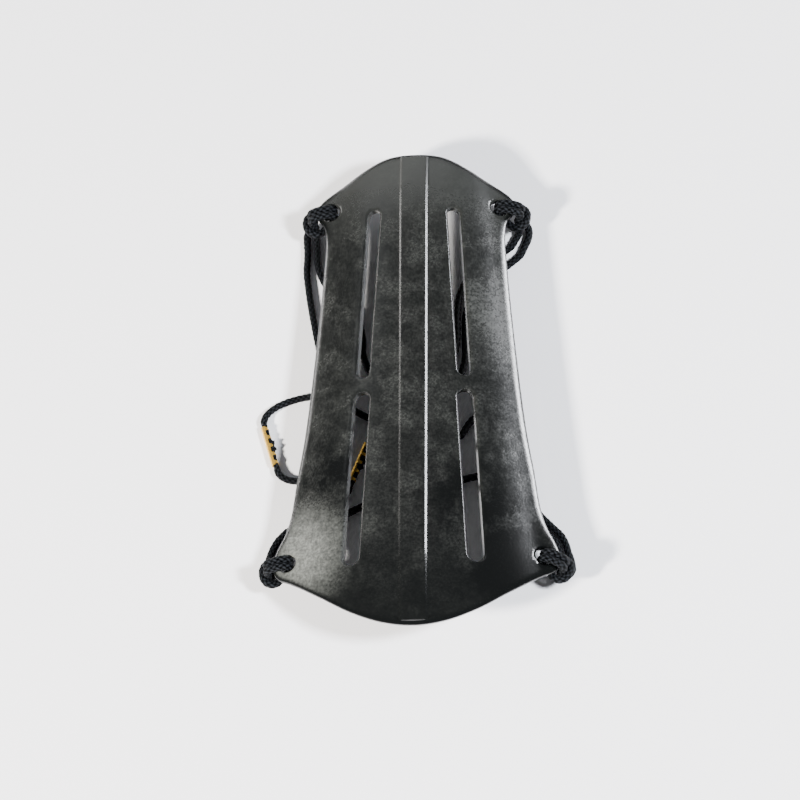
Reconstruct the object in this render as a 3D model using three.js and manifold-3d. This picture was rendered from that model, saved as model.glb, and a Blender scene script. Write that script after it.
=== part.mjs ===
import * as THREE from 'three';
import { mergeVertices } from 'three/addons/utils/BufferGeometryUtils.js';
import Module from 'manifold-3d';

const wasm = await Module();
wasm.setup();

// Sizes in millimetres. X runs across, Y along towards the wrist, Z up from the table.

// Moulded shell.
const WALL = 2.6;
const CROWN_HEIGHT = 24;
const CROWN_FALL = 0.0415;
const ARCH_RADIUS = 60.5;
const ARCH_TAPER = 0.183;
const PLAIN_HALF_WIDTH = 34.6;
const PLAIN_TAPER = 0.117;
const EAR_SLOPE = 0.3;
const EAR_BLEND = 1.5;
const WRIST_DROOP = { from: 62, over: 25.5, drop: 3 };
const ELBOW_DROOP = { from: 58, over: 29.5, drop: 4 };
const SPINE_SHARE = 0.97;

// Right half of the outline seen from above, from the wrist end to the elbow end.
const HALF_OUTLINE = [
  { x: 0, y: 87.6 },
  { x: 9.6, y: 86.7 },
  { x: 17.4, y: 83.1 },
  { x: 24, y: 79.1 },
  { x: 29.2, y: 75.9 },
  { x: 32.2, y: 73.5 },
  { x: 33.9, y: 70.6 },
  { x: 33.3, y: 66.9 },
  { x: 31.4, y: 64 },
  { x: 30.6, y: 58.8 },
  { x: 31.2, y: 47 },
  { x: 34, y: 16 },
  { x: 37.2, y: -12.5 },
  { x: 40, y: -30 },
  { x: 42, y: -43 },
  { x: 43.9, y: -49 },
  { x: 46.5, y: -54.3 },
  { x: 48.2, y: -59.7 },
  { x: 46.6, y: -64.4 },
  { x: 42.7, y: -66.8 },
  { x: 32, y: -74.4 },
  { x: 21.3, y: -81.4 },
  { x: 10.5, y: -85.9 },
  { x: 0, y: -87.4 },
];
const STEPS_PER_ROW = 2;

// Rounded rim: how far in from the outline and how deep below the top surface.
const RIM = [
  { inset: 1.2, depth: 0 },
  { inset: 0.35, depth: 0.28 },
  { inset: 0, depth: 0.95 },
  { inset: 0, depth: 1.9 },
  { inset: 0.45, depth: WALL },
];
const TOP_SHARES = [0, 0.2, 0.4, 0.6, 0.8];
const UNDER_SHARES = [0.8, 0.6, 0.4, 0.2, 0];

// Raised band along the middle.
const BAND = { halfWidth: 4.1, height: 0.6 };

// Slots on the right side; x and y are the outer ends of the slot's middle line.
const SLOTS = [
  { x0: 13.5, y0: 66.1, x1: 17.2, y1: 3.2, width: 4.3 },
  { x0: 17.4, y0: -2, x1: 21.1, y1: -65, width: 5.6 },
];
const RIM_CHAMFER = 0.4;

// Ears on the right side: the hole and the side to which the two strands of its cord leave. For each side of
// the guard, the way the cord lies over the ear's edge, and the points of both strands from the table up to
// that edge. The points of a left ear are given as on the right and mirrored.
const HOLE_RADIUS = 2.95;
const EARS = [
  {
    name: 'wrist', x: 28.8, y: 68.8, leaves: -1,
    left: {
      turn: -8,
      lead: [[34.2, 58.6, 1.2], [34.3, 62, 1.3], [34.4, 64.3, 2.9], [34.5, 65.9, 4.9]],
      rear: [[37.6, 59.8, 1.2], [37.7, 62.8, 1.2], [37.6, 65.6, 1.5], [36.2, 67.7, 2.8], [35.1, 68.5, 4.9]],
    },
    right: {
      turn: -8,
      lead: [[33.1, 61.4, 1.2], [34.1, 63.3, 1.3], [34.5, 65.1, 2.9], [34.5, 66, 4.9]],
      rear: [[36.3, 58.9, 1.2], [37.4, 61.6, 1.2], [37.7, 64.8, 1.5], [36.3, 67.5, 2.8], [35.1, 68.5, 4.9]],
    },
  },
  {
    name: 'elbow', x: 43, y: -59.6, leaves: 1,
    left: {
      turn: -6,
      lead: [[46.8, -53, 1.2], [47.7, -56, 1.3], [48.2, -58, 2.9], [48.55, -59.5, 4.6]],
      rear: [
        [50.2, -54.4, 1.2], [50.9, -56.8, 1.22], [51.6, -59.4, 1.5], [50.3, -61.4, 2.8], [48.7, -62.2, 4.8],
      ],
    },
    right: {
      turn: -20,
      lead: [[46.8, -53, 1.2], [47.8, -57, 1.3], [48.3, -59.6, 2.9], [48.5, -61.2, 4.6]],
      rear: [[50.2, -54.4, 1.2], [51, -57.2, 1.22], [51.2, -60.5, 1.5], [49.6, -63, 2.8], [48, -63.8, 4.8]],
    },
  },
];

// Half of the cord's way round an ear, from the ear's outer edge over it, down the hole and under it to the
// band's corner: outward from the hole, aside from its middle, and up from the middle of the wall.
const HITCH_HALF = [
  { out: 7.3, aside: 1.3, up: -1.8 },
  { out: 7.35, aside: 1.3, up: -0.2 },
  { out: 7.3, aside: 1.3, up: 1.3 },
  { out: 6.8, aside: 1.3, up: 2.45 },
  { out: 5.7, aside: 1.3, up: 3.05 },
  { out: 4.4, aside: 1.3, up: 3.05 },
  { out: 3.1, aside: 1.3, up: 3.05 },
  { out: 1, aside: 1.28, up: 2.5 },
  { out: -0.3, aside: 1.25, up: 1.25 },
  { out: -0.65, aside: 1.25, up: 0 },
  { out: -0.3, aside: 1.25, up: -1.25 },
  { out: 1, aside: 1.4, up: -2.5 },
  { out: 3.1, aside: 1.9, up: -2.95 },
  { out: 4.6, aside: 2.9, up: -3 },
  { out: 6, aside: 3.75, up: -2.8 },
  { out: 7.65, aside: 4.05, up: -2.1 },
  { out: 9.15, aside: 3.2, up: -1.4 },
  { out: 9.98, aside: 1.5, up: -1 },
];
const HITCH_FRONT = { out: 10.1, up: -0.9 };
const HITCH_STEPS = 54;

// Elastic cord and its crimps.
const CORD_RADIUS = 1.2;
const CORD_SIDES = 8;
const CORD_REST = 1.3;
const CRIMP = { length: 14.5, outer: 1.45, inner: 1.05, cover: 230, arcSteps: 4 };
const CLAW = { count: 5, length: 1.3, width: 2.6, thickness: 0.4, out: 0.58, margin: 0.4 };
const CRIMP_REST = 1.65;

// Strands on the table as x, y and, where a strand rises from lying flat, its height.
const ROUTES = {
  wrist_plain_strand: [
    [-34.19, 58.28], [-34.1, 55.5], [-33.2, 51], [-30, 45], [-24.6, 40], [-20.4, 34.5], [-18.9, 27],
    [-18.3, 19.5], [-15.6, 13.2], [-9.5, 10.2], [-1, 10.8], [6.5, 13.4], [11.4, 18.2], [13.1, 25], [13.1, 33],
    [14.1, 41.5], [17.6, 48.6], [22.8, 53.4], [28.4, 56.6], [31.8, 59.1], [32.94, 61.08],
  ],
  wrist_left_strand: [
    [-37.59, 59.48], [-37.6, 56.8], [-37.8, 52], [-37, 44], [-35.1, 32], [-32.8, 20], [-30, 7], [-27.8, -4],
    [-27.6, -13.5], [-31.4, -21.4], [-38, -24.8], [-43.6, -24.6, 1.45], [-46.75, -22.4, 1.6],
    [-47.67, -19.54, 1.65],
  ],
  wrist_right_strand: [
    [-51.66, -4.86, 1.65], [-51.95, -3.3, 1.6], [-51.3, -1, 1.45], [-49, 1.4], [-45.6, 3.4],
    [-41.6, 4.7, 1.4], [-37.4, 5.1, 2.3], [-33.6, 4.6, 3.7], [-29.7, 3.5, 4.25], [-26, 2, 3.7],
    [-22.2, 0.2, 2.3], [-18, -2, 1.4], [-11.5, -4.6], [-4, -5.4], [3.5, -2], [9.5, 4], [13.6, 10.2],
    [15.8, 17.2], [16, 25], [16, 32.5], [17.6, 39.6], [21.6, 44.8], [27, 49.2], [32, 53.2],
    [34.95, 55.9], [36.18, 58.6],
  ],
  elbow_plain_strand: [
    [-46.72, -52.69], [-46.15, -50.5], [-44.7, -48.3], [-41, -45.9], [-33, -41.8], [-24, -37.5], [-13, -32.5],
    [0, -29], [11, -27.5], [20.5, -25.2], [27.5, -26.6], [31.8, -32], [35, -38.4], [39.2, -44], [43.6, -47.6],
    [45.9, -50.2], [46.72, -52.69],
  ],
  elbow_left_strand: [
    [-50.11, -54.09], [-49.5, -51.8], [-48.3, -48.8], [-45.9, -45.3], [-41, -41.3], [-32.8, -37],
    [-26.4, -33.4, 1.4], [-23.7, -29.6, 1.6], [-22.43, -26.37, 1.65],
  ],
  elbow_right_strand: [
    [-16.87, -12.19, 1.65], [-15.6, -9.1, 1.6], [-12.6, -7.4, 1.4], [-8.6, -7.9], [-4, -9.8], [2, -12.2],
    [8.5, -13], [14, -10.4], [18.2, -4.6], [23.2, -1], [28.4, -2.8], [32.4, -10], [35, -20], [37, -31],
    [40, -39], [44.4, -44.2], [47.9, -48], [49.45, -51.6], [50.11, -54.09],
  ],
};
const STEP_LENGTH = 6.6;

// Where each crimp lies on the table, and how far its claws are turned up.
const CRIMPS = [
  { name: 'wrist_crimp', from: [-47.76, -19.2], to: [-51.57, -5.2], open: 0.1 },
  { name: 'elbow_crimp', from: [-22.3, -26.04], to: [-17, -12.52], open: 0.1 },
];

// Colours.
const PLASTIC = { color: '#1d1e1f', roughness: 0.42, metalness: 0 };
const ELASTIC = { color: '#0e1215', roughness: 0.8, metalness: 0 };
const BRASS = { color: '#c7a14b', roughness: 0.3, metalness: 1 };

function softMin(value, limit, blend) {
  return limit - blend * Math.log1p(Math.exp((limit - value) / blend));
}

function droopAt(distance, droop) {
  const share = Math.max(0, (distance - droop.from) / droop.over);
  return droop.drop * share * share;
}

// Height of the shell's top surface: a tapering arch that turns flatter in the ears and droops at the ends.
function surfaceHeight(x, y) {
  const across = Math.abs(x);
  const radius = ARCH_RADIUS - ARCH_TAPER * y;
  const arched = softMin(across, PLAIN_HALF_WIDTH - PLAIN_TAPER * y, EAR_BLEND);
  const fall = radius - Math.sqrt(radius * radius - arched * arched) + EAR_SLOPE * (across - arched);
  return CROWN_HEIGHT - CROWN_FALL * y - fall - droopAt(y, WRIST_DROOP) - droopAt(-y, ELBOW_DROOP);
}

function surfaceNormal(x, y) {
  const reach = 0.05;
  const slopeX = (surfaceHeight(x + reach, y) - surfaceHeight(x - reach, y)) / (2 * reach);
  const slopeY = (surfaceHeight(x, y + reach) - surfaceHeight(x, y - reach)) / (2 * reach);
  return new THREE.Vector3(-slopeX, -slopeY, 1).normalize();
}

// Point above (positive) or below (negative) the top surface, along its normal.
function offSurface(x, y, lift) {
  return new THREE.Vector3(x, y, surfaceHeight(x, y)).addScaledVector(surfaceNormal(x, y), lift);
}

function bareGeometry(geometry) {
  const bare = geometry.clone();
  bare.deleteAttribute('normal');
  bare.deleteAttribute('uv');
  return mergeVertices(bare, 1e-4);
}

function geometryOf(points, faces) {
  const geometry = new THREE.BufferGeometry();
  geometry.setFromPoints(points);
  geometry.setIndex(faces);
  return mergeVertices(geometry, 1e-4);
}

function toManifold(geometry) {
  const bare = bareGeometry(geometry);
  const vertProperties = new Float32Array(bare.attributes.position.array);
  const triVerts = new Uint32Array(bare.index.array);
  const solid = new wasm.Manifold(new wasm.Mesh({ numProp: 3, vertProperties, triVerts }));
  if (solid.volume() > 0) {
    return solid;
  }
  const turned = triVerts.map((value, i) => triVerts[i - (i % 3) + (2 - (i % 3))]);
  return new wasm.Manifold(new wasm.Mesh({ numProp: 3, vertProperties, triVerts: turned }));
}

function toGeometry(solid) {
  const mesh = solid.getMesh();
  const geometry = new THREE.BufferGeometry();
  geometry.setAttribute('position', new THREE.BufferAttribute(new Float32Array(mesh.vertProperties), 3));
  geometry.setIndex(Array.from(mesh.triVerts));
  return geometry;
}

// Closed solid through a row of rings that all have the same number of points.
function loft(rings) {
  const count = rings[0].length;
  const points = rings.flat();
  const faces = [];
  for (let r = 0; r + 1 < rings.length; r += 1) {
    for (let i = 0; i < count; i += 1) {
      const next = (i + 1) % count;
      const a = r * count + i;
      const b = r * count + next;
      faces.push(a, b, b + count, a, b + count, a + count);
    }
  }
  const last = (rings.length - 1) * count;
  for (let i = 1; i + 1 < count; i += 1) {
    faces.push(0, i + 1, i);
    faces.push(last, last + i, last + i + 1);
  }
  return geometryOf(points, faces);
}

function outlinePoints() {
  const right = HALF_OUTLINE.map((row) => new THREE.Vector3(row.x, row.y, 0));
  const left = right.slice(1, -1).reverse().map((point) => new THREE.Vector3(-point.x, point.y, 0));
  const curve = new THREE.CatmullRomCurve3([...right, ...left], true, 'centripetal');
  const half = (HALF_OUTLINE.length - 1) * STEPS_PER_ROW;
  const rightPoints = [];
  for (let i = 0; i <= half; i += 1) {
    const point = curve.getPoint(i / (2 * half));
    rightPoints.push(i % half === 0 ? point.setX(0) : point);
  }
  const leftPoints = rightPoints.slice(1, -1).reverse();
  return [...rightPoints, ...leftPoints.map((point) => new THREE.Vector3(-point.x, point.y, 0))];
}

// Rings from the middle of the raised band over the rim to the middle line of the underside.
function shellBody() {
  const outline = outlinePoints();
  const count = outline.length;
  const inward = outline.map((point, i) => {
    const along = outline[(i + 1) % count].clone().sub(outline[(i + count - 1) % count]).normalize();
    return new THREE.Vector3(along.y, -along.x, 0);
  });
  const ring = (spineHalf, inset, share, depth) => outline.map((point, i) => {
    const edge = point.clone().addScaledVector(inward[i], inset);
    const spine = new THREE.Vector3(spineHalf * Math.sign(point.x), SPINE_SHARE * point.y, 0);
    const place = spine.lerp(edge, share);
    return offSurface(place.x, place.y, -depth);
  });
  const band = [0, BAND.halfWidth].map((half) => ring(half, 0, 0, -BAND.height));
  const top = TOP_SHARES.map((share) => ring(BAND.halfWidth, RIM[0].inset, share, 0));
  const rim = RIM.map((row) => ring(0, row.inset, 1, row.depth));
  const under = UNDER_SHARES.map((share) => ring(0, RIM[RIM.length - 1].inset, share, WALL));
  const rings = [...band, ...top, ...rim, ...under];
  const points = rings.flat();
  const faces = [];
  for (let r = 0; r + 1 < rings.length; r += 1) {
    for (let i = 0; i < count; i += 1) {
      const a = r * count + i;
      const b = r * count + ((i + 1) % count);
      faces.push(a, b + count, b, a, a + count, b + count);
    }
  }
  return geometryOf(points, faces);
}

// Cutter for a slot or a hole with a chamfered upper rim, standing square to the surface.
function cutter(from, to, radius, arcSteps) {
  const along = to.clone().sub(from);
  const heading = along.length() > 0 ? Math.atan2(along.y, along.x) : 0;
  const levels = [
    { lift: 0.6, grow: RIM_CHAMFER + 0.6 },
    { lift: -RIM_CHAMFER, grow: 0 },
    { lift: -WALL - 1, grow: 0 },
  ];
  return loft(levels.map((level) => {
    const ring = [];
    for (const [centre, start] of [[to, -Math.PI / 2], [from, Math.PI / 2]]) {
      for (let i = 0; i < arcSteps; i += 1) {
        const share = along.length() > 0 ? i / (arcSteps - 1) : i / arcSteps;
        const angle = heading + start + Math.PI * share;
        const reach = radius + level.grow;
        const x = centre.x + reach * Math.cos(angle);
        const y = centre.y + reach * Math.sin(angle);
        ring.push(offSurface(x, y, level.lift));
      }
    }
    return ring;
  }));
}

function shellGeometry() {
  let shell = toManifold(shellBody());
  for (const side of [1, -1]) {
    for (const slot of SLOTS) {
      const start = new THREE.Vector2(side * slot.x0, slot.y0);
      const end = new THREE.Vector2(side * slot.x1, slot.y1);
      const trim = end.clone().sub(start).setLength(slot.width / 2);
      const cut = cutter(start.add(trim), end.sub(trim), slot.width / 2, 9);
      shell = shell.subtract(toManifold(cut));
    }
    for (const ear of EARS) {
      const centre = new THREE.Vector2(side * ear.x, ear.y);
      shell = shell.subtract(toManifold(cutter(centre, centre, HOLE_RADIUS, 12)));
    }
  }
  return toGeometry(shell);
}

function tube(points, steps) {
  const section = [];
  for (let i = 0; i < CORD_SIDES; i += 1) {
    const angle = (2 * Math.PI * (i + 0.5)) / CORD_SIDES;
    section.push(new THREE.Vector2(CORD_RADIUS * Math.cos(angle), CORD_RADIUS * Math.sin(angle)));
  }
  const extrudePath = new THREE.CatmullRomCurve3(points, false, 'centripetal');
  return new THREE.ExtrudeGeometry(new THREE.Shape(section), { steps, extrudePath, bevelEnabled: false });
}

// Cord hitched round an ear: up from one foot, over the ear's edge, down its hole, under the ear, across
// the front of both legs as a band, and back the same way to the other foot.
function hitchGeometry(ear, side) {
  const normal = surfaceNormal(ear.x, ear.y);
  const feet = side > 0 ? ear.right : ear.left;
  const turn = THREE.MathUtils.degToRad(feet.turn);
  const outward = new THREE.Vector3(Math.cos(turn), Math.sin(turn), 0).projectOnPlane(normal).normalize();
  const across = normal.clone().cross(outward).multiplyScalar(ear.leaves);
  const origin = offSurface(ear.x, ear.y, -WALL / 2);
  const halfWay = (half, foot) => [
    ...foot.map((point) => new THREE.Vector3(...point)),
    ...HITCH_HALF.map((row) => origin.clone().addScaledVector(outward, row.out)
      .addScaledVector(across, half * row.aside).addScaledVector(normal, row.up)),
  ];
  const front = origin.clone()
    .addScaledVector(outward, HITCH_FRONT.out).addScaledVector(normal, HITCH_FRONT.up);
  const path = [...halfWay(1, feet.lead), front, ...halfWay(-1, feet.rear).reverse()];
  return bareGeometry(tube(path.map((point) => point.setX(side * point.x)), HITCH_STEPS));
}

function strandGeometry(route) {
  const points = route.map(([x, y, z]) => new THREE.Vector3(x, y, z ?? CORD_REST));
  const length = new THREE.CatmullRomCurve3(points, false, 'centripetal').getLength();
  return bareGeometry(tube(points, Math.round(length / STEP_LENGTH)));
}

// Crimp: a channel with a plain round back and a row of claws closed over its open side.
function crimpGeometry(row) {
  const from = new THREE.Vector3(row.from[0], row.from[1], CRIMP_REST);
  const to = new THREE.Vector3(row.to[0], row.to[1], CRIMP_REST);
  const axis = to.clone().sub(from).normalize();
  const open = new THREE.Vector3(axis.y, -axis.x, 0)
    .multiplyScalar(Math.cos(row.open)).setZ(Math.sin(row.open));
  const basis = new THREE.Matrix4().makeBasis(open, axis.clone().cross(open), axis).setPosition(from);
  const reach = THREE.MathUtils.degToRad(CRIMP.cover) / 2;
  const section = new THREE.Shape();
  section.absarc(0, 0, CRIMP.outer, Math.PI - reach, Math.PI + reach, false);
  section.absarc(0, 0, CRIMP.inner, Math.PI + reach, Math.PI - reach, true);
  const channel = new THREE.ExtrudeGeometry(section, {
    depth: CRIMP.length, bevelEnabled: false, curveSegments: CRIMP.arcSteps,
  });
  let crimp = toManifold(channel);
  const pitch = (CRIMP.length - CLAW.length - 2 * CLAW.margin) / (CLAW.count - 1);
  for (let i = 0; i < CLAW.count; i += 1) {
    const claw = new THREE.BoxGeometry(CLAW.thickness, CLAW.width, CLAW.length);
    claw.translate(CLAW.out, 0, CLAW.margin + CLAW.length / 2 + i * pitch);
    crimp = crimp.add(toManifold(claw));
  }
  return toGeometry(crimp).applyMatrix4(basis);
}

function namedMesh(name, geometry, finish) {
  geometry.computeVertexNormals();
  const mesh = new THREE.Mesh(geometry, new THREE.MeshStandardMaterial(finish));
  mesh.name = name;
  return mesh;
}

const guard = new THREE.Group();
guard.name = 'arm_guard';
guard.add(namedMesh('guard_shell', shellGeometry(), PLASTIC));
for (const ear of EARS) {
  guard.add(namedMesh(`${ear.name}_left_hitch`, hitchGeometry(ear, -1), ELASTIC));
  guard.add(namedMesh(`${ear.name}_right_hitch`, hitchGeometry(ear, 1), ELASTIC));
}
for (const [name, route] of Object.entries(ROUTES)) {
  guard.add(namedMesh(name, strandGeometry(route), ELASTIC));
}
for (const row of CRIMPS) {
  guard.add(namedMesh(row.name, crimpGeometry(row), BRASS));
}

export default guard;
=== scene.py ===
"""Archery arm guard: moulded shell, braided elastic loops hitched to its ears, and brass crimps."""
import math
from itertools import accumulate

import bpy
import numpy as np
from bpy.props import FloatProperty, FloatVectorProperty, IntProperty, PointerProperty
from bpy.types import Operator, Panel, PropertyGroup
from mathutils import Matrix, Vector


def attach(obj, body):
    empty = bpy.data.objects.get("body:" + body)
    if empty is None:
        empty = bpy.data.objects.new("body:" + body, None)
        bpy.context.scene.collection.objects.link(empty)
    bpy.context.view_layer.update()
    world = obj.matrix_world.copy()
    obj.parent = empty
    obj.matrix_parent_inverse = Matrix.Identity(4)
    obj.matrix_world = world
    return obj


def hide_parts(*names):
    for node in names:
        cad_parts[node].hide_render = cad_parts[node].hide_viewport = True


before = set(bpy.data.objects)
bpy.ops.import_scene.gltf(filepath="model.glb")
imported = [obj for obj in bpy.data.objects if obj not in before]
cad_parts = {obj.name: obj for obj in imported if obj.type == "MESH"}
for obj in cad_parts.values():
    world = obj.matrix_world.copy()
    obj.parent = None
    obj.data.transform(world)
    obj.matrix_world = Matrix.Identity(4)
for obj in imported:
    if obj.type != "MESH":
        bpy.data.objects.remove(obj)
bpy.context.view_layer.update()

bl_info = {
    "name": "Arm guard",
    "version": (1, 0, 0),
    "blender": (4, 5, 0),
    "location": "3D View > Sidebar > Arm guard",
    "description": "Builds an archery arm guard with elastic loops, crimps and a studio stage",
    "category": "Add Mesh",
}

MM = 0.001
ROOT = "root"

# Shell tables, in millimetres: x across, y along towards the wrist.
# Right half of the outline seen from above, from the wrist end to the elbow end.
HALF_OUTLINE = MM * np.array([
    (0, 87.6), (9.6, 86.7), (17.4, 83.1), (24, 79.1), (29.2, 75.9), (32.2, 73.5), (33.9, 70.6), (33.3, 66.9),
    (31.4, 64), (30.6, 58.8), (31.2, 47), (34, 16), (37.2, -12.5), (40, -30), (42, -43), (43.9, -49),
    (46.5, -54.3), (48.2, -59.7), (46.6, -64.4), (42.7, -66.8), (32, -74.4), (21.3, -81.4), (10.5, -85.9),
    (0, -87.4),
])
# Slots on the right side: x and y of both outer ends of the middle line, and width.
SLOTS = MM * np.array([
    (13.5, 66.1, 17.2, 3.2, 4.3),
    (17.4, -2, 21.1, -65, 5.6),
])
# Drop of the crown for each length towards the wrist, and how far the arch's radius and width grow towards
# the elbow.
CROWN_FALL = 0.0415
ARCH_TAPER = 0.183
PLAIN_TAPER = 0.117
# Slope of the ears, and the distance over which the arch turns into it.
EAR_SLOPE = 0.3
EAR_BLEND = 1.5 * MM
# Droop of both ends: where it begins, over what length, and how far down.
WRIST_DROOP = MM * np.array([62, 25.5, 3])
ELBOW_DROOP = MM * np.array([58, 29.5, 4])
# Length of the spine as a share of the outline's, how much less it is in the middle of the band, and its
# share on the underside.
SPINE_SHARE = 0.985
BAND_LESS = 0.03
UNDER_SHARE = 0.97

# Ears on the right side: hole, and the side to which the strands of its cord leave. For each side of the
# guard, heading of the cord over the ear's edge in degrees, and the points of both strands from the table
# up to that edge. Those of a left ear are mirrored.
EARS = {
    "wrist": {
        "hole": (28.8, 68.8), "leaves": -1,
        "left": {
            "turn": -8,
            "lead": [(34.2, 58.6, 1.2), (34.3, 62, 1.3), (34.4, 64.3, 2.9), (34.5, 65.9, 4.9)],
            "rear": [(37.6, 59.8, 1.2), (37.7, 62.8, 1.2), (37.6, 65.6, 1.5), (36.2, 67.7, 2.8),
                     (35.1, 68.5, 4.9)],
        },
        "right": {
            "turn": -8,
            "lead": [(33.1, 61.4, 1.2), (34.1, 63.3, 1.3), (34.5, 65.1, 2.9), (34.5, 66, 4.9)],
            "rear": [(36.3, 58.9, 1.2), (37.4, 61.6, 1.2), (37.7, 64.8, 1.5), (36.3, 67.5, 2.8),
                     (35.1, 68.5, 4.9)],
        },
    },
    "elbow": {
        "hole": (43, -59.6), "leaves": 1,
        "left": {
            "turn": -6,
            "lead": [(46.8, -53, 1.2), (47.7, -56, 1.3), (48.2, -58, 2.9), (48.55, -59.5, 4.6)],
            "rear": [(50.2, -54.4, 1.2), (50.9, -56.8, 1.22), (51.6, -59.4, 1.5), (50.3, -61.4, 2.8),
                     (48.7, -62.2, 4.8)],
        },
        "right": {
            "turn": -20,
            "lead": [(46.8, -53, 1.2), (47.8, -57, 1.3), (48.3, -59.6, 2.9), (48.5, -61.2, 4.6)],
            "rear": [(50.2, -54.4, 1.2), (51, -57.2, 1.22), (51.2, -60.5, 1.5), (49.6, -63, 2.8),
                     (48, -63.8, 4.8)],
        },
    },
}
# Half of the cord's way round an ear: outward from the hole, aside from its middle, up from mid wall.
HITCH_HALF = MM * np.array([
    (7.3, 1.3, -1.8), (7.35, 1.3, -0.2), (7.3, 1.3, 1.3), (6.8, 1.3, 2.45), (5.7, 1.3, 3.05),
    (4.4, 1.3, 3.05), (3.1, 1.3, 3.05), (1, 1.28, 2.5), (-0.3, 1.25, 1.25), (-0.65, 1.25, 0),
    (-0.3, 1.25, -1.25), (1, 1.4, -2.5), (3.1, 1.9, -2.95), (4.6, 2.9, -3), (6, 3.75, -2.8),
    (7.65, 4.05, -2.1), (9.15, 3.2, -1.4), (9.98, 1.5, -1),
])
HITCH_FRONT = MM * np.array([10.1, 0, -0.9])

# Strands on the table as x, y and height, in millimetres.
CORD_REST = 1.3
ROUTES = {
    "wrist_plain_strand": [
        (-34.19, 58.28), (-34.1, 55.5), (-33.2, 51), (-30, 45), (-24.6, 40), (-20.4, 34.5), (-18.9, 27),
        (-18.3, 19.5), (-15.6, 13.2), (-9.5, 10.2), (-1, 10.8), (6.5, 13.4), (11.4, 18.2), (13.1, 25),
        (13.1, 33), (14.1, 41.5), (17.6, 48.6), (22.8, 53.4), (28.4, 56.6), (31.8, 59.1), (32.94, 61.08),
    ],
    "wrist_left_strand": [
        (-37.59, 59.48), (-37.6, 56.8), (-37.8, 52), (-37, 44), (-35.1, 32), (-32.8, 20), (-30, 7),
        (-27.8, -4), (-27.6, -13.5), (-31.4, -21.4), (-38, -24.8), (-43.6, -24.6, 1.45),
        (-46.75, -22.4, 1.6), (-47.67, -19.54, 1.65),
    ],
    "wrist_right_strand": [
        (-51.66, -4.86, 1.65), (-51.95, -3.3, 1.6), (-51.3, -1, 1.45), (-49, 1.4), (-45.6, 3.4),
        (-41.6, 4.7, 1.4), (-37.4, 5.1, 2.3), (-33.6, 4.6, 3.7), (-29.7, 3.5, 4.25), (-26, 2, 3.7),
        (-22.2, 0.2, 2.3), (-18, -2, 1.4), (-11.5, -4.6), (-4, -5.4), (3.5, -2), (9.5, 4), (13.6, 10.2),
        (15.8, 17.2), (16, 25), (16, 32.5), (17.6, 39.6), (21.6, 44.8), (27, 49.2), (32, 53.2),
        (34.95, 55.9), (36.18, 58.6),
    ],
    "elbow_plain_strand": [
        (-46.72, -52.69), (-46.15, -50.5), (-44.7, -48.3), (-41, -45.9), (-33, -41.8), (-24, -37.5),
        (-13, -32.5), (0, -29), (11, -27.5), (20.5, -25.2), (27.5, -26.6), (31.8, -32), (35, -38.4),
        (39.2, -44), (43.6, -47.6), (45.9, -50.2), (46.72, -52.69),
    ],
    "elbow_left_strand": [
        (-50.11, -54.09), (-49.5, -51.8), (-48.3, -48.8), (-45.9, -45.3), (-41, -41.3), (-32.8, -37),
        (-26.4, -33.4, 1.4), (-23.7, -29.6, 1.6), (-22.43, -26.37, 1.65),
    ],
    "elbow_right_strand": [
        (-16.87, -12.19, 1.65), (-15.6, -9.1, 1.6), (-12.6, -7.4, 1.4), (-8.6, -7.9), (-4, -9.8),
        (2, -12.2), (8.5, -13), (14, -10.4), (18.2, -4.6), (23.2, -1), (28.4, -2.8), (32.4, -10),
        (35, -20), (37, -31), (40, -39), (44.4, -44.2), (47.9, -48), (49.45, -51.6), (50.11, -54.09),
    ],
}
# Crimps: both ends of the middle line on the table, and how far the claws are turned up, in radians.
CRIMPS = {
    "wrist": {"start": (-47.76, -19.2, 1.65), "stop": (-51.57, -5.2, 1.65), "open": 0.1},
    "elbow": {"start": (-22.3, -26.04, 1.65), "stop": (-17, -12.52, 1.65), "open": 0.1},
}
# Cut end of the cord in a crimp: way along from the crimp's middle, and out of its open side.
CORD_TAIL = MM * np.array([(0.75, 1.5), (1.3, 0.5), (2.6, 0), (5, 0)])
# Painted sheen on the shell, painted shade where strength is below zero: x, y, z and reach in millimetres,
# and strength.
PAINTED_SHEEN_AND_SHADE = (
    (-39, -58, 15, 25, 0.85),
    (30, 26, 15, 26, 0.15),
    (21, 62, 17, 32, 0.03),
    (-25, 50, 16, 24, 0.005),
    (-30, -33, 18, 20, -0.08),
    (18, -42, 20, 28, -0.05),
    (34, -60, 17, 26, -0.07),
)


def linear_colour(code):
    """Linear colour of an sRGB hex code."""
    parts = np.array([int(code[i:i + 2], 16) for i in (1, 3, 5)]) / 255
    return tuple(np.where(parts <= 0.04045, parts / 12.92, ((parts + 0.055) / 1.055) ** 2.4).tolist())


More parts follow.
